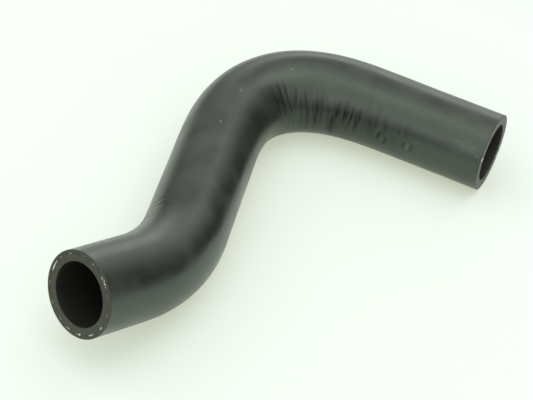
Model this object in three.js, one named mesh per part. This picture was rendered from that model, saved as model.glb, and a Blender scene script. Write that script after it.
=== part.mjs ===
import * as THREE from 'three';

// A moulded radiator hose with two bends, lying as it comes to rest. Millimetres, Z up.
// The middle leg, the right bend and the right leg lie flat on the floor, with the right leg along +X.
// The left bend turns out of that plane, which lifts the left end clear of the floor.

// Section of the tube, the same from end to end.
const BORE_DIAMETER = 28;
const WALL_THICKNESS = 5;

// Legs, along the centreline and between the nominal ends of the bends.
const LEFT_LEG_LENGTH = 31;
const MIDDLE_LEG_LENGTH = 80;
const RIGHT_LEG_LENGTH = 78;

// Bends. The radius is the centreline's where it bends the most, and the lead is the length
// over which the curvature grows at the start of a bend and fades at its end.
const LEFT_BEND_RADIUS = 70;
const LEFT_BEND_TURN_DEG = 37;
const LEFT_BEND_LEAD = 8;
const RIGHT_BEND_RADIUS = 36.5;
const RIGHT_BEND_TURN_DEG = 104;
const RIGHT_BEND_LEAD = 52;

// Angle between the planes of the two bends, about the middle leg.
const LEFT_BEND_TILT_DEG = 27.5;

// Fineness of the mesh.
const SIDES_AROUND = 40;
const TURN_PER_RING_DEG = 4.5;
const WALK_STEP = 0.5;

const UP = new THREE.Vector3(0, 0, 1);
const BORE_RADIUS = BORE_DIAMETER / 2;
const OUTER_RADIUS = BORE_RADIUS + WALL_THICKNESS;
const { degToRad, clamp } = THREE.MathUtils;

const epdmRubber = new THREE.MeshStandardMaterial({
  name: 'epdm_rubber',
  color: 0x3b403d,
  roughness: 0.6,
  metalness: 0,
});

// Share of a bend's full curvature that has been reached at a distance, across a lead.
function leadShare(distance, middle, lead) {
  return clamp((distance - middle) / lead + 0.5, 0, 1);
}

// Walks one half of the centreline out from the middle of the middle leg, through a bend to an end.
// Each ring is a place on the centreline with two directions across the tube. A straight stretch has
// a ring at each end only, and a bend has one each time the tube has turned by the angle per ring.
function walkHalf(heading, turnAxis, bend, endLeg) {
  const bendStart = MIDDLE_LEG_LENGTH / 2;
  const turn = degToRad(bend.turnDeg);
  const bendEnd = bendStart + bend.radius * turn;
  const length = bendEnd + endLeg;
  const steps = Math.round(length / WALK_STEP);
  const stepLength = length / steps;
  const ringTurn = degToRad(TURN_PER_RING_DEG);

  const place = new THREE.Vector3();
  const direction = heading.clone();
  const across = new THREE.Vector3().crossVectors(heading, UP);
  const upward = UP.clone();
  const rings = [];
  const keepRing = () => rings.push([place, across, upward].map((vector) => vector.clone()));

  keepRing();
  let turnedSinceRing = 0;
  let turning = false;
  for (let step = 0; step < steps; step += 1) {
    const distance = (step + 0.5) * stepLength;
    const reached = leadShare(distance, bendStart, bend.lead) - leadShare(distance, bendEnd, bend.lead);
    if (turning !== reached > 0) {
      if (step > 0) keepRing();
      turning = reached > 0;
      turnedSinceRing = 0;
    }
    const angle = (reached * stepLength) / bend.radius;
    direction.applyAxisAngle(turnAxis, angle / 2);
    place.addScaledVector(direction, stepLength);
    direction.applyAxisAngle(turnAxis, angle / 2);
    across.applyAxisAngle(turnAxis, angle);
    upward.applyAxisAngle(turnAxis, angle);
    turnedSinceRing += angle;
    if (turnedSinceRing >= ringTurn) {
      keepRing();
      turnedSinceRing = 0;
    }
  }
  keepRing();
  return rings;
}

// Rings from the left end to the right end. The middle leg's heading leaves the right leg along +X.
function hoseRings() {
  const heading = new THREE.Vector3(1, 0, 0).applyAxisAngle(UP, degToRad(RIGHT_BEND_TURN_DEG));
  const rightTurnAxis = UP.clone().negate();
  const leftTurnAxis = rightTurnAxis.clone().applyAxisAngle(heading, degToRad(LEFT_BEND_TILT_DEG));
  const leftBend = { radius: LEFT_BEND_RADIUS, turnDeg: LEFT_BEND_TURN_DEG, lead: LEFT_BEND_LEAD };
  const rightBend = { radius: RIGHT_BEND_RADIUS, turnDeg: RIGHT_BEND_TURN_DEG, lead: RIGHT_BEND_LEAD };
  const leftHalf = walkHalf(heading.clone().negate(), leftTurnAxis, leftBend, LEFT_LEG_LENGTH);
  const rightHalf = walkHalf(heading, rightTurnAxis, rightBend, RIGHT_LEG_LENGTH);
  return { leftHalf, rightHalf };
}

// One skin of the tube as rows of points, one row for each ring.
function skinPoints(rings, radius) {
  return rings.map(([place, across, upward]) => {
    const row = [];
    for (let side = 0; side < SIDES_AROUND; side += 1) {
      const angle = (2 * Math.PI * side) / SIDES_AROUND;
      row.push(
        place
          .clone()
          .addScaledVector(across, radius * Math.cos(angle))
          .addScaledVector(upward, radius * Math.sin(angle)),
      );
    }
    return row;
  });
}

// A closed strip of two triangles a side between two rows of points.
function addBand(triangles, row, nextRow) {
  for (let side = 0; side < SIDES_AROUND; side += 1) {
    const nextSide = (side + 1) % SIDES_AROUND;
    triangles.push(row[side], nextRow[side], nextRow[nextSide]);
    triangles.push(row[side], nextRow[nextSide], row[nextSide]);
  }
}

// The whole tube: the outer skin, the bore and the two cut faces, which are square to the centreline.
function hoseGeometry(rings) {
  const outer = skinPoints(rings, OUTER_RADIUS);
  const bore = skinPoints(rings, BORE_RADIUS);
  const last = rings.length - 1;
  const triangles = [];
  for (let ring = 0; ring < last; ring += 1) {
    addBand(triangles, outer[ring], outer[ring + 1]);
    addBand(triangles, bore[ring + 1], bore[ring]);
  }
  addBand(triangles, bore[0], outer[0]);
  addBand(triangles, outer[last], bore[last]);
  return new THREE.BufferGeometry().setFromPoints(triangles);
}

// Both halves start at the middle of the middle leg. The left half's directions across the tube
// are mirrored there, because it is walked the other way.
function buildHose() {
  const { leftHalf, rightHalf } = hoseRings();
  leftHalf.forEach(([, across]) => across.negate());
  const rings = [...leftHalf.reverse(), ...rightHalf.slice(1)];
  const geometry = hoseGeometry(rings);
  geometry.computeVertexNormals();
  geometry.computeBoundingBox();
  const middle = geometry.boundingBox.getCenter(new THREE.Vector3());
  geometry.translate(-middle.x, -middle.y, -geometry.boundingBox.min.z);
  const hose = new THREE.Mesh(geometry, epdmRubber);
  hose.name = 'hose';
  return hose;
}

const radiatorHose = new THREE.Group();
radiatorHose.add(buildHose());

export default radiatorHose;
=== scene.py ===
"""A moulded radiator hose, lying on a white table. Metres, Z up, in the frame of its CAD model."""
import math
import random

import bpy
import numpy as np
from mathutils import Matrix, Vector


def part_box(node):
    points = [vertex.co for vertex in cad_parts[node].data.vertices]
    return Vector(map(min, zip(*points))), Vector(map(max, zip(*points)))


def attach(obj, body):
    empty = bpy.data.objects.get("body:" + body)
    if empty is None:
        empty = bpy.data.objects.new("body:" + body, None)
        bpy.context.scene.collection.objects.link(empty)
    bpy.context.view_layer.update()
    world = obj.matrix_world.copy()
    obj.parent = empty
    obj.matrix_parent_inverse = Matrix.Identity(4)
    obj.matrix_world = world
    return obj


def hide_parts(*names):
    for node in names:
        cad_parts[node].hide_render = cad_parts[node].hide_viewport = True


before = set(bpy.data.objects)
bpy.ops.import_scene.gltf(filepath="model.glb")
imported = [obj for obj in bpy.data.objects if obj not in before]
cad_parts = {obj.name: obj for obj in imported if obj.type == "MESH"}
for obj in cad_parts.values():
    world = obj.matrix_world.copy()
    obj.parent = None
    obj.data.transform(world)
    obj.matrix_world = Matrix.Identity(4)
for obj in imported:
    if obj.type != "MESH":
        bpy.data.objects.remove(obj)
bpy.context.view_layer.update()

MM = 0.001

# Section and centreline, with the same sizes as the CAD source.
BORE_RADIUS = 14 * MM
OUTER_RADIUS = 19 * MM
LEFT_LEG = 31 * MM
MIDDLE_LEG = 80 * MM
RIGHT_LEG = 78 * MM
LEFT_BEND = {"radius": 70 * MM, "turn": math.radians(37), "lead": 8 * MM}
RIGHT_BEND = {"radius": 36.5 * MM, "turn": math.radians(104), "lead": 52 * MM}
LEFT_BEND_TILT = math.radians(27.5)

# Distances along the hose, from the left end. Angles round it start at the inside of the right bend
# and go up over the top.
LEFT_BEND_END = LEFT_LEG + LEFT_BEND["radius"] * LEFT_BEND["turn"]
RIGHT_BEND_START = LEFT_BEND_END + MIDDLE_LEG
RIGHT_BEND_END = RIGHT_BEND_START + RIGHT_BEND["radius"] * RIGHT_BEND["turn"]
HOSE_LENGTH = RIGHT_BEND_END + RIGHT_LEG

# Camera, from the photograph's outline: what it aims at on the table, and how it looks at it.
AIM = Vector((-16.4, 24.9, 0)) * MM
CAMERA_DISTANCE = 829 * MM
CAMERA_AZIMUTH = math.radians(21.13)
CAMERA_ELEVATION = math.radians(41.7)
CAMERA_ROLL = math.radians(7.93)
CAMERA_LENS_MM = 120
CAMERA_SENSOR_MM = 36
CAMERA_CLIP_END = 50

# Light, where a radiance of 1 shows as white. The room's radiance grows with height (the sine of the
# elevation): each step has the height where it starts and ends, and how much it adds.
LIGHT_TOWARDS = Vector((0.17, 0.35, 0.92)).normalized()
LIGHT_ANGLE = math.radians(44)
LIGHT_RADIANCE = 0.635
HORIZON_RADIANCE = 0.33
ROOM_STEPS = [(0.0, 0.55, 0.74), (0.72, 1.0, 0.25)]
# Where the room is dimmer or brighter: the direction, the share of its light that is missing (below 0) or
# added there, and the cosines of the angles from that direction at which this starts and is full.
ROOM_SIDES = [
    ((0.85, 0.53, 0.0), -0.78, 0.45, 0.93),
    ((-0.12, 0.36, 0.92), -0.35, 0.92, 0.985),
    ((-0.40, 0.50, 0.77), -0.42, 0.82, 0.98),
    ((-0.82, 0.57, 0.09), -0.35, 0.8, 0.97),
    ((-0.35, 0.93, 0.12), 1.7, 0.9, 0.985),
    ((-0.07, -0.95, 0.31), 0.35, 0.8, 0.97),
    ((-0.21, -0.18, 0.96), 0.3, 0.95, 0.995),
]
# The table is white round the hose and falls off to light grey past the photograph's frame, as painted
# shade for a small studio's light that fades with distance: the distances from the camera's aim at which
# this starts and ends, and how much it is lifted near and far.
TABLE_FALLOFF = (190 * MM, 400 * MM)
TABLE_LIFT = 0.46
FAR_TABLE_LIFT = 0.28
TABLE_HALF_WIDTH = 6.0

WALK_STEP = 0.1 * MM
UP = np.array([0.0, 0.0, 1.0])


def linear(hex_colour):
    """Turns an sRGB hex colour into linear red, green, blue and alpha."""
    parts = [int(hex_colour[i : i + 2], 16) / 255 for i in (1, 3, 5)]
    return tuple(p / 12.92 if p <= 0.04045 else ((p + 0.055) / 1.055) ** 2.4 for p in parts) + (1.0,)


def add(tree, kind, settings=None, inputs=None):
    """Adds a node with its settings. Each input is a value or another node's output."""
    node = tree.nodes.new(kind)
    for name, value in (settings or {}).items():
        setattr(node, name, value)
    for name, value in (inputs or {}).items():
        if isinstance(value, bpy.types.NodeSocket):
            tree.links.new(value, node.inputs[name])
        else:
            node.inputs[name].default_value = value
    return node


def empty_material(name):
    """A material with nothing in it but its output."""
    material = bpy.data.materials.new(name)
    material.use_nodes = True
    tree = material.node_tree
    tree.nodes.clear()
    return material, tree, tree.nodes.new("ShaderNodeOutputMaterial")


# Centreline
def turned(vector, axis, angles):
    """A vector turned about a unit axis by each of the angles."""
    cosine, sine = np.cos(angles)[:, None], np.sin(angles)[:, None]
    return vector * cosine + np.cross(axis, vector) * sine + axis * (axis @ vector) * (1 - cosine)


def walk_half(heading, axis, bend, end_leg):
    """Walks from the middle of the middle leg through a bend to an end, as the CAD source does."""
    start = MIDDLE_LEG / 2
    end = start + bend["radius"] * bend["turn"]
    steps = round((end + end_leg) / WALK_STEP)
    step = (end + end_leg) / steps
    along = (np.arange(steps) + 0.5) * step
    reached = [np.clip((along - place) / bend["lead"] + 0.5, 0, 1) for place in (start, end)]
    turns = (reached[0] - reached[1]) * step / bend["radius"]
    at_ring = np.concatenate([[0], np.cumsum(turns)])
    moves = turned(heading, axis, at_ring[:-1] + turns / 2) * step
    places = np.concatenate([np.zeros((1, 3)), np.cumsum(moves, axis=0)])
    across = turned(np.cross(heading, UP), axis, at_ring)
    upward = turned(UP, axis, at_ring)
    return np.linspace(0, end + end_leg, steps + 1), places, across, upward


def centreline():
    """Distances from the left end, with the place and the two directions across the hose at each."""
    turn = RIGHT_BEND["turn"]
    heading = np.array([math.cos(turn), math.sin(turn), 0.0])
    left_axis = turned(-UP, heading, np.array([LEFT_BEND_TILT]))[0]
    left = walk_half(-heading, left_axis, LEFT_BEND, LEFT_LEG)
    right = walk_half(heading, -UP, RIGHT_BEND, RIGHT_LEG)
    left_length = left[0][-1]
    along = np.concatenate([left_length - left[0][::-1], left_length + right[0][1:]])
    places = np.concatenate([left[1][::-1], right[1][1:]])
    across = np.concatenate([-left[2][::-1], right[2][1:]])
    upward = np.concatenate([left[3][::-1], right[3][1:]])
    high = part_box("hose")[1]
    right_end = np.array([high[0], high[1] - OUTER_RADIUS, OUTER_RADIUS])
    return along, places + right_end - places[-1], across, upward


LINE = centreline()


def at_distance(distances, values):
    """One of the centreline's vectors at each of the distances."""
    return np.stack([np.interp(distances, LINE[0], values[:, k]) for k in range(3)], axis=-1)


def on_hose(distances, angles, radii):
    """Points of the hose, from distances along it, angles round it and radii."""
    _, places, across, upward = LINE
    side = at_distance(distances, across) * np.cos(angles)[..., None]
    rise = at_distance(distances, upward) * np.sin(angles)[..., None]
    return at_distance(distances, places) + (side + rise) * radii[..., None]


# Hose body
BODY_SEED = 7
SIDES_AROUND = 144
RING_STEP = 1.3 * MM
FINE_RING_STEP = 0.4 * MM      # where the skin is creased or rubbed
FINE_RING_MARGIN = 2 * MM      # on each side of those places
BORE_RINGS = 110
FACE_RINGS = 16                # of a cut face, with the two that its rounded edges end on
ROUNDING_DEG = (0, 30, 60, 90)
EDGE_ROUNDING = 0.35 * MM      # a cut rubber edge is nearly sharp
CUT_FACE_DEPTH = 0.12 * MM     # the rubber relaxes a little behind the plane of the cut
CUT_FACE_RUN = 0.8 * MM        # from a face's edges to where it is that deep
BLADE_MARK_SPACING = 2 * math.pi * 0.9 * MM     # of the faint ripples that the blade leaves
BLADE_MARK_TURN = 0.6          # the blade's way across the face, in radians
SKIN_INSET = 0.06 * MM         # keeps the round skin within the faceted CAD solid's box
UNEVENNESS = 0.1 * MM          # of the skin, over a few centimetres
UNEVEN_WAVE = 70 * MM          # the longest of the waves that make it
UNEVEN_WAVES = 9
YARN_RADIUS = 17.2 * MM        # the knitted layer's distance from the centreline

# Where the wall bulges in the tight right bend: distance along the hose, its spread, angle round it and
# its spread in degrees, height.
BULGES = [
    (196 * MM, 36 * MM, -26, 46, 1.5 * MM),
    (206 * MM, 32 * MM, 126, 38, 0.6 * MM),
]

# The inside of the right bend is squeezed, and so duller, and painted shade darkens its colour there: its
# range along the hose, then in degrees round it the upper edge at both ends of that range, the lower edge,
# how soft each edge is and how ragged the upper one is. The waves make it ragged. The streaks are how much
# painted shade and dullness there are between the edges, and how much the same waves change that.
SQUEEZED_SHADE = {
    "range": (166 * MM, 268 * MM),
    "upper": (32, 14),
    "upper_softness": 2.5,
    "lower": -26,
    "lower_softness": 8,
    "ragged": 3.5,
    "waves": (2.3 * MM, 3.7 * MM, 5.9 * MM, 11 * MM),
    "streaks": (0.8, 0.1),
}
SQUEEZED_SHADE_AND_DULLNESS = 0.48       # painted shade and dullness of the squeezed rubber, where 1 is the darkest and dullest
DULLEST_CREASE = 0.5 * MM      # a crease this deep is the dullest and has the darkest painted shade

# Fine creases on the inside of each bend: range along the hose, middle angle round it and spread of
# that angle in degrees, mean spacing and greatest depth.
CREASED = [
    {
        "range": (RIGHT_BEND_START + 8 * MM, RIGHT_BEND_END + 38 * MM),
        "angle": 10,
        "spread": 13,
        "spacing": 3.0 * MM,
        "depth": 0.26 * MM,
    },
    {
        "range": (LEFT_BEND_END - 20 * MM, LEFT_BEND_END + 12 * MM),
        "angle": 180 - math.degrees(LEFT_BEND_TILT),
        "spread": 12,
        "spacing": 3.0 * MM,
        "depth": 0.14 * MM,
    },
]

# How much one fine crease differs from the next: share of the mean spacing, share of the spread that its
# angle strays by, half its length in degrees, width and slant in mm, and share of the greatest depth.
FINE_CREASE = {
    "spacing": (0.5, 1.5),
    "stray": 0.6,
    "half_degrees": (12, 30),
    "width_mm": (0.6, 1.4),
    "slant_mm": (-1, 1),
    "depth": (0.3, 1),
}

# Creases that stand out: distance along the hose, angle round it and half its length in degrees, width,
# depth. They all slant by the same amount.
DEEP_CREASE_SLANT = 0.4 * MM
DEEP_CREASES = [
    (174.5 * MM, 28, 25, 1.1 * MM, 0.16 * MM),
    (180.5 * MM, 28, 25, 1.3 * MM, 0.19 * MM),
    (185.5 * MM, 38, 16, 1.1 * MM, 0.13 * MM),
    (204.0 * MM, -4, 20, 1.2 * MM, 0.22 * MM),
    (211.0 * MM, 6, 22, 1.4 * MM, 0.20 * MM),
    (221.5 * MM, -8, 14, 1.0 * MM, 0.19 * MM),
    (229.0 * MM, 16, 18, 1.0 * MM, 0.18 * MM),
    (237.5 * MM, 14, 16, 0.9 * MM, 0.17 * MM),
    (249.5 * MM, 1, 8, 0.7 * MM, 0.40 * MM),
    (253.5 * MM, -3, 7, 0.7 * MM, 0.36 * MM),
    (262.5 * MM, 2, 6, 0.7 * MM, 0.30 * MM),
    (266.5 * MM, 1, 7, 0.7 * MM, 0.26 * MM),
]

# Rubbed places: distance along the hose, angle round it in degrees, length along the hose, width round
# it, and how much of the surface is rubbed pale.
RUBBED = [
    (62 * MM, 20, 1.2 * MM, 0.8 * MM, 0.3),
    (105 * MM, 40, 1.0 * MM, 0.8 * MM, 0.3),
    (132 * MM, 88, 1.3 * MM, 0.7 * MM, 0.65),
    (158 * MM, 82, 2.0 * MM, 0.8 * MM, 0.35),
    (170 * MM, 96, 0.9 * MM, 0.7 * MM, 0.35),
    (194 * MM, 73, 2.2 * MM, 0.8 * MM, 0.35),
    (238 * MM, 110, 1.2 * MM, 0.8 * MM, 0.35),
    (251.5 * MM, -4, 0.7 * MM, 2.2 * MM, 0.2),
    (264.6 * MM, 0, 0.7 * MM, 2.4 * MM, 0.45),
    (287.4 * MM, 37, 3.0 * MM, 1.0 * MM, 0.2),
    (289.8 * MM, 34, 3.2 * MM, 1.2 * MM, 0.17),
    (293.0 * MM, 33, 8.0 * MM, 5.0 * MM, 0.08),
    (294.6 * MM, 35, 0.9 * MM, 1.6 * MM, 0.25),
    (296.2 * MM, 31, 1.8 * MM, 0.8 * MM, 0.24),
    (298.0 * MM, 27, 1.3 * MM, 0.9 * MM, 0.26),
]


def ring_distances():
    """Distances of the skin's rings: close together where the skin is creased or rubbed."""
    places = [zone["range"] for zone in CREASED] + [(mark[0], mark[0]) for mark in RUBBED]
    fine = [(low - FINE_RING_MARGIN, high + FINE_RING_MARGIN) for low, high in places]
    distances = [EDGE_ROUNDING]
    while distances[-1] < HOSE_LENGTH - EDGE_ROUNDING:
        here = distances[-1]
        is_fine = any(low < here < high for low, high in fine)
        distances.append(here + (FINE_RING_STEP if is_fine else RING_STEP))
    distances[-1] = HOSE_LENGTH - EDGE_ROUNDING
    return distances


def wall_outline():
    """The wall's closed outline as (distance along the hose, radius, surface), starting at the left rim.
    Surface 0 is the moulded skin, 1 a cut face and 2 the bore."""
    quarter = [math.radians(a) for a in ROUNDING_DEG]
    round_in = [(EDGE_ROUNDING * math.sin(a), EDGE_ROUNDING * (1 - math.cos(a))) for a in quarter]
    round_out = round_in[::-1]
    outer, bore = OUTER_RADIUS - SKIN_INSET, BORE_RADIUS
    face_radii = list(np.linspace(outer - EDGE_ROUNDING, bore + EDGE_ROUNDING, FACE_RINGS)[1:-1])
    last = HOSE_LENGTH
    outline = [(s, outer, 0) for s in ring_distances()]
    outline += [(last - EDGE_ROUNDING + run, outer - drop, 1) for run, drop in round_in[1:]]
    outline += [(last, r, 1) for r in face_radii]
    outline += [(last - EDGE_ROUNDING + run, bore + drop, 1) for run, drop in round_out[:-1]]
    outline += [(s, bore, 2) for s in np.linspace(last - EDGE_ROUNDING, EDGE_ROUNDING, BORE_RINGS)]
    outline += [(EDGE_ROUNDING - run, bore + drop, 1) for run, drop in round_in[1:]]
    outline += [(0, r, 1) for r in reversed(face_radii)]
    outline += [(EDGE_ROUNDING - run, outer - drop, 1) for run, drop in round_out[:-1]]
    return outline


def angle_from(angle, middle_degrees):
    """Angles round the hose from a middle one, between minus and plus half a turn."""
    return (angle - math.radians(middle_degrees) + math.pi) % (2 * math.pi) - math.pi


def one_crease(distance, angle, middle, middle_degrees, half_degrees, width, slant):
    """How far each point of the skin lies in one crease, from 0 to 1 at its bottom."""
    off = angle_from(angle, middle_degrees) / math.radians(half_degrees)
    across = (distance - middle - slant * off) / width
    return np.exp(-(across**2)) * np.exp(-(off**4))


def crease_depth(distance, angle, rng):
    """Depth of the creases that cross the inside of each bend, at each point of the skin."""
    depth = np.zeros_like(angle)
    varies = FINE_CREASE
    for zone in CREASED:
        low, high = zone["range"]
        middle = low
        while middle < high:
            middle += zone["spacing"] * rng.uniform(*varies["spacing"])
            share = (middle - low) / (high - low)
            fade = math.sin(math.pi * min(max(share, 0.04), 0.96)) ** 0.5
            middle_degrees = zone["angle"] + rng.gauss(0, varies["stray"]) * zone["spread"]
            half_degrees = rng.uniform(*varies["half_degrees"])
            width = rng.uniform(*varies["width_mm"]) * MM
            slant = rng.uniform(*varies["slant_mm"]) * MM
            crease = one_crease(distance, angle, middle, middle_degrees, half_degrees, width, slant)
            depth += zone["depth"] * rng.uniform(*varies["depth"]) * fade * crease
    for middle, middle_degrees, half_degrees, width, full_depth in DEEP_CREASES:
        crease = one_crease(
            distance, angle, middle, middle_degrees, half_degrees, width, DEEP_CREASE_SLANT
        )
        depth += full_depth * crease
    return depth


def bulge_height(distance, angle):
    """How far the wall bulges out in the right bend, at each point of the skin."""
    height = np.zeros_like(angle)
    for middle, spread, middle_degrees, spread_degrees, full_height in BULGES:
        along = (distance - middle) / spread
        around = angle_from(angle, middle_degrees) / math.radians(spread_degrees)
        height += full_height * np.exp(-(along**2) - around**4)
    return height


def squeezed_shade_share(distance, angle, rng):
    """How much painted shade and dullness the squeezed inside of the right bend has, from 0 to 1."""
    low, high = SQUEEZED_SHADE["range"]
    along = np.sin(math.pi * np.clip((distance - low) / (high - low), 0, 1)) ** 0.7
    ragged = sum(
        rng.uniform(0.4, 1) * np.sin(2 * math.pi * distance / wave + rng.uniform(0, 2 * math.pi))
        for wave in SQUEEZED_SHADE["waves"]
    )
    degrees = np.degrees(angle_from(angle, 0))
    upper_edge = np.interp(distance, (low, high), SQUEEZED_SHADE["upper"]) + SQUEEZED_SHADE["ragged"] * ragged
    upper = 1 / (1 + np.exp((degrees - upper_edge) / SQUEEZED_SHADE["upper_softness"]))
    lower = 1 / (1 + np.exp((SQUEEZED_SHADE["lower"] - degrees) / SQUEEZED_SHADE["lower_softness"]))
    mean_share, change = SQUEEZED_SHADE["streaks"]
    streaks = mean_share + change * ragged
    return np.clip(along * upper * lower * streaks, 0, 1)


def rubbed_share(distance, angle):
    """How much of the skin is rubbed pale, from 0 to 1, at each of its points."""
    share = np.zeros_like(angle)
    for middle, middle_degrees, length, width, amount in RUBBED:
        along = (distance - middle) / (length / 2)
        around = angle_from(angle, middle_degrees) * OUTER_RADIUS / (width / 2)
        share = np.maximum(share, amount * np.exp(-(along**2) - around**2))
    return share


def soft_waves(distance, angle, rng, longest, count):
    """Seeded mean of waves along and round the hose, from -1 to 1."""
    total = np.zeros_like(angle)
    for _ in range(count):
        wave = rng.uniform(0.35, 1) * longest
        turns = rng.randint(0, 4)
        total += np.sin(2 * math.pi * distance / wave + turns * angle + rng.uniform(0, 2 * math.pi))
    return total / count


def hose_body():
    """The rubber hose as one closed mesh: skin, both cut faces and the bore."""
    rng = random.Random(BODY_SEED)
    outline = wall_outline()
    angles = np.linspace(0, 2 * math.pi, SIDES_AROUND, endpoint=False)
    distance, angle = np.meshgrid([row[0] for row in outline], angles, indexing="ij")
    radius = np.repeat([[row[1]] for row in outline], SIDES_AROUND, axis=1)
    surface = np.array([row[2] for row in outline])

    skin, face = (surface == 0)[:, None], (surface == 1)[:, None]
    creases = crease_depth(distance, angle, rng) * skin
    waves = UNEVENNESS * (1 + soft_waves(distance, angle, rng, UNEVEN_WAVE, UNEVEN_WAVES)) / 2
    bulges = bulge_height(distance, angle) * skin
    radius = radius + bulges - creases - waves * skin
    inwards = np.where(distance < HOSE_LENGTH / 2, 1.0, -1.0)
    from_edges = np.minimum(OUTER_RADIUS - radius, radius - BORE_RADIUS)
    dish = np.clip(from_edges / CUT_FACE_RUN, 0, 1)
    blade_way = 2 * math.pi * radius * np.sin(angle - BLADE_MARK_TURN) / BLADE_MARK_SPACING
    blade_marks = 0.5 + 0.5 * np.sin(blade_way + 2 * np.sin(3 * angle))
    cut = CUT_FACE_DEPTH * (0.75 + 0.25 * blade_marks) * dish
    distance = distance + inwards * cut * face

    points = on_hose(distance, angle, radius).reshape(-1, 3)
    rows, sides = radius.shape
    row, side = np.meshgrid(np.arange(rows), np.arange(sides), indexing="ij")
    next_row, next_side = (row + 1) % rows, (side + 1) % sides
    around = [(row, side), (next_row, side), (next_row, next_side), (row, next_side)]
    quads = np.stack([r * sides + k for r, k in around], axis=-1).reshape(-1, 4)

    mesh = bpy.data.meshes.new("hose_body")
    mesh.from_pydata(points.tolist(), [], quads.tolist())
    mesh.polygons.foreach_set("use_smooth", np.ones(len(quads), dtype=bool))
    for_quad = surface.copy()
    for_quad[(surface == 1) | (np.roll(surface, -1) == 1)] = 1
    mesh.polygons.foreach_set("material_index", np.repeat(for_quad, sides).astype(np.int32))
    straight = np.stack([distance, radius * np.cos(angle), radius * np.sin(angle)], axis=-1) / MM
    attribute = mesh.attributes.new("straight_tube_mm", "FLOAT_VECTOR", "POINT")
    attribute.data.foreach_set("vector", straight.reshape(-1).astype(np.float32))
    # Painted shade on the squeezed inside of the right bend, with its streaks.
    squeezed_shade = squeezed_shade_share(distance, angle, rng) * skin
    # Painted shade and dullness: deeper creases and the squeezed inside of the right bend get a darker
    # colour and less gloss.
    crease_shade_and_dullness = np.clip(creases / DULLEST_CREASE + SQUEEZED_SHADE_AND_DULLNESS * squeezed_shade, 0, 1)
    for name, share in (("crease_shade_and_dullness", crease_shade_and_dullness), ("rubbed", rubbed_share(distance, angle) * skin)):
        attribute = mesh.attributes.new(name, "FLOAT", "POINT")
        attribute.data.foreach_set("value", share.reshape(-1).astype(np.float32))
    mesh.update()
    return bpy.data.objects.new("hose_body", mesh)


# Yarn
KNIT_COLUMNS = 15              # columns of stitches round the hose
FIRST_COLUMN_DEG = 1           # angle round the hose of column 0
COLUMN_STRAY_DEG = 3           # how far a column can be from its even place
STRANDS_PER_END = 6
STRAND_STRAY_MM = (0.5, 0.16)  # how far a strand mostly lies from its column, sideways and towards the bore
STRAND_LENGTH_MM = (0.4, 0.85)
STRAND_WIDTH_MM = (0.15, 0.25)
STRAND_HEIGHT_MM = (0.04, 0.1)
WIDEST_STRAND = 1.7            # how many times as wide a clean end's strands can be
STRAND_ROWS = 7
STRAND_SIDES = 8
LEFT_YARN_SEED = 3
RIGHT_YARN_SEED = 5
# Columns whose cut ends lie clean, with how much longer than the others they are.
CLEAN_ENDS_LEFT = {2: 2.2, 7: 4.4, 11: 1.05, 12: 1.4, 13: 1.5, 14: 1.05}
CLEAN_ENDS_RIGHT = {9: 1.4}
# A frayed tuft on the right cut face: its angle round the hose in degrees, its middle radius, and how far
# its strands lie from there, sideways and towards or away from the bore.
TUFT = {"angle": 23, "radius": 17.0 * MM, "sideways": 0.75 * MM, "spread": 1.6 * MM, "strands": 90}


def strand(centre, long_way, short_way, out_way, length, width, height):
    """One cut strand: a closed, flattened grain, with its long side along the face."""
    rows, sides = STRAND_ROWS, STRAND_SIDES
    points, faces = [], []
    for i in range(1, rows):
        polar = math.pi * i / rows
        for k in range(sides):
            turn = 2 * math.pi * k / sides
            ring = math.sin(polar)
            points.append(
                centre
                + long_way * (math.cos(polar) * length / 2)
                + short_way * (math.cos(turn) * ring * width / 2)
                + out_way * (math.sin(turn) * ring * height)
            )
    points += [centre + long_way * (length / 2), centre - long_way * (length / 2)]
    for i in range(rows - 2):
        for k in range(sides):
            n = (k + 1) % sides
            faces.append((i * sides + k, i * sides + n, (i + 1) * sides + n, (i + 1) * sides + k))
    first, last = (rows - 1) * sides, (rows - 1) * sides + 1
    for k in range(sides):
        n = (k + 1) % sides
        faces.append((first, n, k))
        faces.append((last, (rows - 2) * sides + k, (rows - 2) * sides + n))
    return points, faces


def strand_places(clean_ends, tuft, rng):
    """Angle round the hose, radius, times the usual length and cleanness of each strand in a cut face."""
    places = []
    for column in range(KNIT_COLUMNS):
        longer = clean_ends.get(column, 1.0)
        stray = rng.uniform(-COLUMN_STRAY_DEG, COLUMN_STRAY_DEG)
        middle = math.radians(FIRST_COLUMN_DEG + 360 * column / KNIT_COLUMNS + stray)
        for _ in range(STRANDS_PER_END):
            angle = middle + rng.gauss(0, STRAND_STRAY_MM[0]) * MM * longer / YARN_RADIUS
            radius = YARN_RADIUS + rng.gauss(0, STRAND_STRAY_MM[1]) * MM
            cleanness = rng.uniform(0.75, 1) if longer > 1 else rng.uniform(0, 1) ** 2 * 0.7
            places.append((angle, radius, longer, cleanness))
    for _ in range(tuft["strands"] if tuft else 0):
        angle = math.radians(tuft["angle"]) + rng.uniform(-1, 1) * tuft["sideways"] / tuft["radius"]
        places.append((angle, tuft["radius"] + rng.uniform(-1, 1) * tuft["spread"], 1.0, 1.0))
    return places


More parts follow.
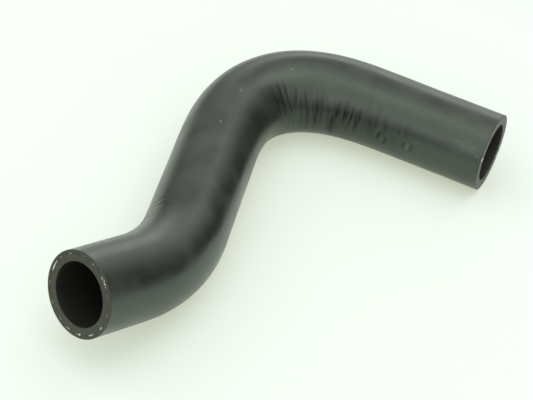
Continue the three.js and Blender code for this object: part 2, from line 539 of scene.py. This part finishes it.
def yarn_ends(name, distance, outward, clean_ends, tuft, rng):
    """The cut ends of the knitted yarn, in a ring in one cut face."""
    points, faces, clean = [], [], []
    base = distance - outward * CUT_FACE_DEPTH
    for angle, radius, longer, cleanness in strand_places(clean_ends, tuft, rng):
        trio = on_hose(
            np.array([base, base, base - outward * MM]),
            np.array([angle, angle, angle]),
            np.array([radius, radius - MM, radius]),
        )
        centre, inner, behind = (Vector(point) for point in trio)
        short_way = (centre - inner).normalized()
        out_way = (centre - behind).normalized()
        length = rng.uniform(*STRAND_LENGTH_MM) * MM * longer
        width = rng.uniform(*STRAND_WIDTH_MM) * MM * min(longer, WIDEST_STRAND)
        height = rng.uniform(*STRAND_HEIGHT_MM) * MM
        more_points, more_faces = strand(
            centre, out_way.cross(short_way), short_way, out_way, length, width, height
        )
        first = len(points)
        points += more_points
        faces += [tuple(first + i for i in face) for face in more_faces]
        clean += [cleanness] * len(more_points)
    mesh = bpy.data.meshes.new(name)
    mesh.from_pydata([tuple(p) for p in points], [], faces)
    mesh.polygons.foreach_set("use_smooth", np.ones(len(faces), dtype=bool))
    mesh.attributes.new("clean", "FLOAT", "POINT").data.foreach_set("value", clean)
    mesh.update()
    return bpy.data.objects.new(name, mesh)


# Materials
def mesh_value(tree, name, output="Fac"):
    """One of the values that the piece's mesh holds at each point."""
    return add(tree, "ShaderNodeAttribute", {"attribute_name": name}).outputs[output]


def noise(tree, place, scale, detail, roughness=0.5):
    """An even noise round a half, whose patches are about 1 / scale wide."""
    inputs = {"Vector": place, "Scale": scale, "Detail": detail, "Roughness": roughness}
    return add(tree, "ShaderNodeTexNoise", None, inputs).outputs["Fac"]


def shrunk(tree, place, sizes):
    """Places divided by a pattern's size along each axis, for a noise of scale 1."""
    inputs = {"Vector": place, "Scale": tuple(1 / size for size in sizes)}
    return add(tree, "ShaderNodeMapping", None, inputs).outputs["Vector"]


def ranged(tree, value, source, target=(0.0, 1.0), smooth=False):
    """Carries a value from one range to another, and keeps it within that."""
    settings = {"interpolation_type": "SMOOTHSTEP"} if smooth else None
    inputs = {"Value": value, "From Min": source[0], "From Max": source[1]}
    inputs.update({"To Min": target[0], "To Max": target[1]})
    return add(tree, "ShaderNodeMapRange", settings, inputs).outputs["Result"]


def number(tree, operation, first, second):
    """The result of an operation on two numbers."""
    return add(tree, "ShaderNodeMath", {"operation": operation}, {0: first, 1: second}).outputs["Value"]


def number_between(tree, factor, first, second):
    """The number that a factor picks between two."""
    return add(tree, "ShaderNodeMix", None, {"Factor": factor, "A": first, "B": second}).outputs["Result"]


def colour_between(tree, factor, first, second):
    """The colour that a factor picks between two."""
    inputs = {"Factor": factor, "A": first, "B": second}
    return add(tree, "ShaderNodeMix", {"data_type": "RGBA"}, inputs).outputs["Result"]


def bump(tree, height, strength, depth):
    """The surface's direction where a pattern raises and lowers it."""
    inputs = {"Height": height, "Strength": strength, "Distance": depth}
    return add(tree, "ShaderNodeBump", None, inputs).outputs["Normal"]


def shade(tree, output, inputs):
    """Gives a material its shader."""
    shader = add(tree, "ShaderNodeBsdfPrincipled", None, inputs)
    tree.links.new(shader.outputs["BSDF"], output.inputs["Surface"])


# Sizes of the patterns in mm. The hose's own are along it and across it.
STREAK_MM = (90, 5, 5)
CLOUD_MM = 14
GRAIN_MM = 0.6                 # the real grain is finer than one pixel, so it is drawn coarser
TORN_MM = 0.9
KNIT_BREAK_MM = 2.2
KNIT_LINE_MM = (0.1, 0.6)      # half the width of the painted shade line in the gap at the yarn: where it is full and where it ends
BORE_STREAK_MM = (40, 3, 3)
SOILING_MM = 0.5


def moulded_epdm_skin():
    """EPDM rubber, extruded and cured on a mandrel: a charcoal satin skin, a little cloudy, with faint
    streaks along the hose from the extrusion and a fine grain. Its colour carries painted shade in its
    creases and where the bend squeezes it, where it is also duller, and it is matt and grey where it is
    rubbed."""
    material, tree, output = empty_material("moulded_epdm_skin")
    place = mesh_value(tree, "straight_tube_mm", "Vector")
    crease_shade_and_dullness = mesh_value(tree, "crease_shade_and_dullness")
    rubbed = mesh_value(tree, "rubbed")
    streaks = noise(tree, shrunk(tree, place, STREAK_MM), 1.0, 3.0)
    clouds = noise(tree, place, 1 / CLOUD_MM, 2.0)
    grain = noise(tree, place, 1 / GRAIN_MM, 2.0)
    streaked = colour_between(tree, streaks, linear("#1d211d"), linear("#272b26"))
    cloudy = colour_between(
        tree, ranged(tree, clouds, (0.42, 0.72), (0.0, 0.5)), streaked, linear("#3f443d")
    )
    # Painted shade: the colour darkens towards #121410 in the creases and the squeezed inside of the right
    # bend, where shade falls.
    crease_shaded = colour_between(tree, crease_shade_and_dullness, cloudy, linear("#121410"))
    satin = ranged(tree, clouds, (0.3, 0.7), (0.25, 0.38))
    shade(
        tree,
        output,
        {
            "Base Color": colour_between(tree, rubbed, crease_shaded, linear("#9a9e90")),
            "Roughness": number_between(tree, rubbed, satin, 0.7),
            "IOR": 1.55,
            "Specular IOR Level": ranged(tree, crease_shade_and_dullness, (0.0, 1.0), (0.85, 0.3)),
            "Specular Tint": linear("#ecffea"),
            "Metallic": 0.0,
            "Normal": bump(tree, grain, 0.25, 0.03 * MM),
        },
    )
    return material


def cut_epdm_wall():
    """The same rubber where a blade went through it: matt, brown-grey and slightly torn, with a broken line
    of painted shade round it, in the gap where the knitted yarn parts the two layers of the wall."""
    material, tree, output = empty_material("cut_epdm_wall")
    place = mesh_value(tree, "straight_tube_mm", "Vector")
    torn = noise(tree, place, 1 / TORN_MM, 4.0, 0.7)
    across = add(
        tree, "ShaderNodeVectorMath", {"operation": "MULTIPLY"}, {0: place, 1: (0.0, 1.0, 1.0)}
    ).outputs["Vector"]
    radius = add(tree, "ShaderNodeVectorMath", {"operation": "LENGTH"}, {0: across}).outputs["Value"]
    off_line = number(tree, "SUBTRACT", radius, YARN_RADIUS / MM)
    off_line = add(tree, "ShaderNodeMath", {"operation": "ABSOLUTE"}, {0: off_line}).outputs["Value"]
    on_line = ranged(tree, off_line, KNIT_LINE_MM, (1.0, 0.0), smooth=True)
    breaks = noise(tree, place, 1 / KNIT_BREAK_MM, 2.0)
    unbroken = ranged(tree, breaks, (0.4, 0.6), (0.0, 0.8))
    torn_share = ranged(tree, torn, (0.32, 0.68))
    rubber = colour_between(tree, torn_share, linear("#26281f"), linear("#484a3c"))
    # Painted shade: a dark broken line in the gap where the yarn parts the wall's two layers.
    knit_gap_shade = number(tree, "MULTIPLY", on_line, unbroken)
    shade(
        tree,
        output,
        {
            "Base Color": colour_between(tree, knit_gap_shade, rubber, linear("#181914")),
            "Roughness": 0.44,
            "IOR": 1.5,
            "Specular Tint": linear("#f6ffec"),
            "Metallic": 0.0,
            "Normal": bump(tree, torn, 0.5, 0.12 * MM),
        },
    )
    return material


def bore_epdm_lining():
    """The lining, cured against the mandrel: smooth and nearly black, with faint streaks along it."""
    material, tree, output = empty_material("bore_epdm_lining")
    place = mesh_value(tree, "straight_tube_mm", "Vector")
    streaks = noise(tree, shrunk(tree, place, BORE_STREAK_MM), 1.0, 2.0)
    colour = colour_between(tree, streaks, linear("#191a15"), linear("#26271f"))
    shade(tree, output, {"Base Color": colour, "Roughness": 0.6, "IOR": 1.5, "Metallic": 0.0})
    return material


def polyester_yarn():
    """Cut polyester yarn: matt, off-white where its ends lie clean, else soiled by the rubber."""
    material, tree, output = empty_material("polyester_yarn")
    clean = mesh_value(tree, "clean")
    place = add(tree, "ShaderNodeTexCoord").outputs["Object"]
    soiling = noise(tree, place, 1 / (SOILING_MM * MM), 2.0)
    share = add(
        tree,
        "ShaderNodeMath",
        {"operation": "MULTIPLY_ADD", "use_clamp": True},
        {0: soiling, 1: 0.5, 2: clean},
    ).outputs["Value"]
    kept = ranged(tree, share, (0.2, 1.0))
    colour = colour_between(tree, kept, linear("#4a4b40"), linear("#f0eee2"))
    shade(tree, output, {"Base Color": colour, "Roughness": 0.85, "IOR": 1.5, "Metallic": 0.0})
    return material


def white_table():
    """A matt white table top, whose colour and lift fall off to light grey away from the hose: painted
    shade for the way a small studio's light fades. The camera, and all that mirrors it or shows it through,
    see it lifted, so that it is white round a light shadow."""
    material, tree, output = empty_material("white_table")
    place = add(tree, "ShaderNodeTexCoord").outputs["Object"]
    run = add(tree, "ShaderNodeVectorMath", {"operation": "DISTANCE"}, {0: place, 1: AIM}).outputs["Value"]
    # Painted shade: the colour and the lift fall off with distance from the aim, as the light of a small
    # studio would.
    away = ranged(tree, run, TABLE_FALLOFF, smooth=True)
    colour = colour_between(tree, away, linear("#bfc6cc"), linear("#a9aab0"))
    lift = number_between(tree, away, TABLE_LIFT, FAR_TABLE_LIFT)
    ray = add(tree, "ShaderNodeLightPath").outputs
    seen = ray["Is Camera Ray"]
    for kind in ("Is Glossy Ray", "Is Transmission Ray"):
        seen = number(tree, "MAXIMUM", seen, ray[kind])
    shade(
        tree,
        output,
        {
            "Base Color": colour,
            "Roughness": 0.9,
            "IOR": 1.3,
            "Metallic": 0.0,
            "Emission Color": linear("#f4fddb"),
            "Emission Strength": number(tree, "MULTIPLY", seen, lift),
        },
    )
    return material


# Scene
def place_piece(piece, materials):
    """Puts a piece of the hose in the scene, on its CAD body."""
    bpy.context.scene.collection.objects.link(piece)
    for material in materials:
        piece.data.materials.append(material)
    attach(piece, "root")


def make_camera():
    """The photograph's camera."""
    turn = Matrix.Rotation(CAMERA_AZIMUTH, 4, "Z") @ Matrix.Rotation(math.pi / 2 - CAMERA_ELEVATION, 4, "X")
    data = bpy.data.cameras.new("photo_camera")
    data.lens = CAMERA_LENS_MM
    data.sensor_width = CAMERA_SENSOR_MM
    data.clip_end = CAMERA_CLIP_END
    camera = bpy.data.objects.new("photo_camera", data)
    camera.matrix_world = (
        Matrix.Translation(AIM)
        @ turn
        @ Matrix.Translation((0, 0, CAMERA_DISTANCE))
        @ Matrix.Rotation(CAMERA_ROLL, 4, "Z")
    )
    bpy.context.scene.collection.objects.link(camera)
    bpy.context.scene.camera = camera


def make_table():
    """A wide table top at the height that the hose lies on."""
    half = TABLE_HALF_WIDTH
    mesh = bpy.data.meshes.new("table_top")
    corners = [(-half, -half, 0), (half, -half, 0), (half, half, 0), (-half, half, 0)]
    mesh.from_pydata(corners, [], [(0, 1, 2, 3)])
    table = bpy.data.objects.new("table_top", mesh)
    table.data.materials.append(white_table())
    bpy.context.scene.collection.objects.link(table)


def make_light():
    """A wide soft light overhead, a little behind the hose, in a room that is dimmer towards the horizon
    and has the darker and brighter places that the hose's gloss shows."""
    lamp = bpy.data.lights.new("overhead_light", "SUN")
    lamp.angle = LIGHT_ANGLE
    lamp.energy = LIGHT_RADIANCE * math.pi * math.sin(LIGHT_ANGLE / 2) ** 2
    light = bpy.data.objects.new("overhead_light", lamp)
    light.rotation_mode = "QUATERNION"
    light.rotation_quaternion = LIGHT_TOWARDS.to_track_quat("Z", "Y")
    bpy.context.scene.collection.objects.link(light)

    world = bpy.data.worlds.new("room")
    world.use_nodes = True
    tree = world.node_tree
    tree.nodes.clear()
    direction = add(tree, "ShaderNodeTexCoord").outputs["Generated"]
    height = add(tree, "ShaderNodeSeparateXYZ", None, {"Vector": direction}).outputs["Z"]
    strength = HORIZON_RADIANCE
    for start, end, rise in ROOM_STEPS:
        step = ranged(tree, height, (start, end), (0.0, rise), smooth=True)
        strength = number(tree, "ADD", step, strength)
    for side, change, start, full in ROOM_SIDES:
        nearness = add(
            tree, "ShaderNodeVectorMath", {"operation": "DOT_PRODUCT"}, {0: direction, 1: side}
        ).outputs["Value"]
        kept = ranged(tree, nearness, (start, full), (1.0, 1.0 + change), smooth=True)
        strength = number(tree, "MULTIPLY", strength, kept)
    glow = add(tree, "ShaderNodeBackground", None, {"Color": (1.0, 1.0, 1.0, 1.0), "Strength": strength})
    output = tree.nodes.new("ShaderNodeOutputWorld")
    tree.links.new(glow.outputs["Background"], output.inputs["Surface"])
    bpy.context.scene.world = world


make_camera()
make_table()
make_light()

body = hose_body()
place_piece(body, [moulded_epdm_skin(), cut_epdm_wall(), bore_epdm_lining()])
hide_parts("hose")

yarn = polyester_yarn()
left_rng, right_rng = random.Random(LEFT_YARN_SEED), random.Random(RIGHT_YARN_SEED)
left_ends = yarn_ends("yarn_ends_left", 0.0, -1, CLEAN_ENDS_LEFT, None, left_rng)
right_ends = yarn_ends("yarn_ends_right", HOSE_LENGTH, 1, CLEAN_ENDS_RIGHT, TUFT, right_rng)
place_piece(left_ends, [yarn])
place_piece(right_ends, [yarn])

bpy.context.scene.view_settings.view_transform = "Standard"
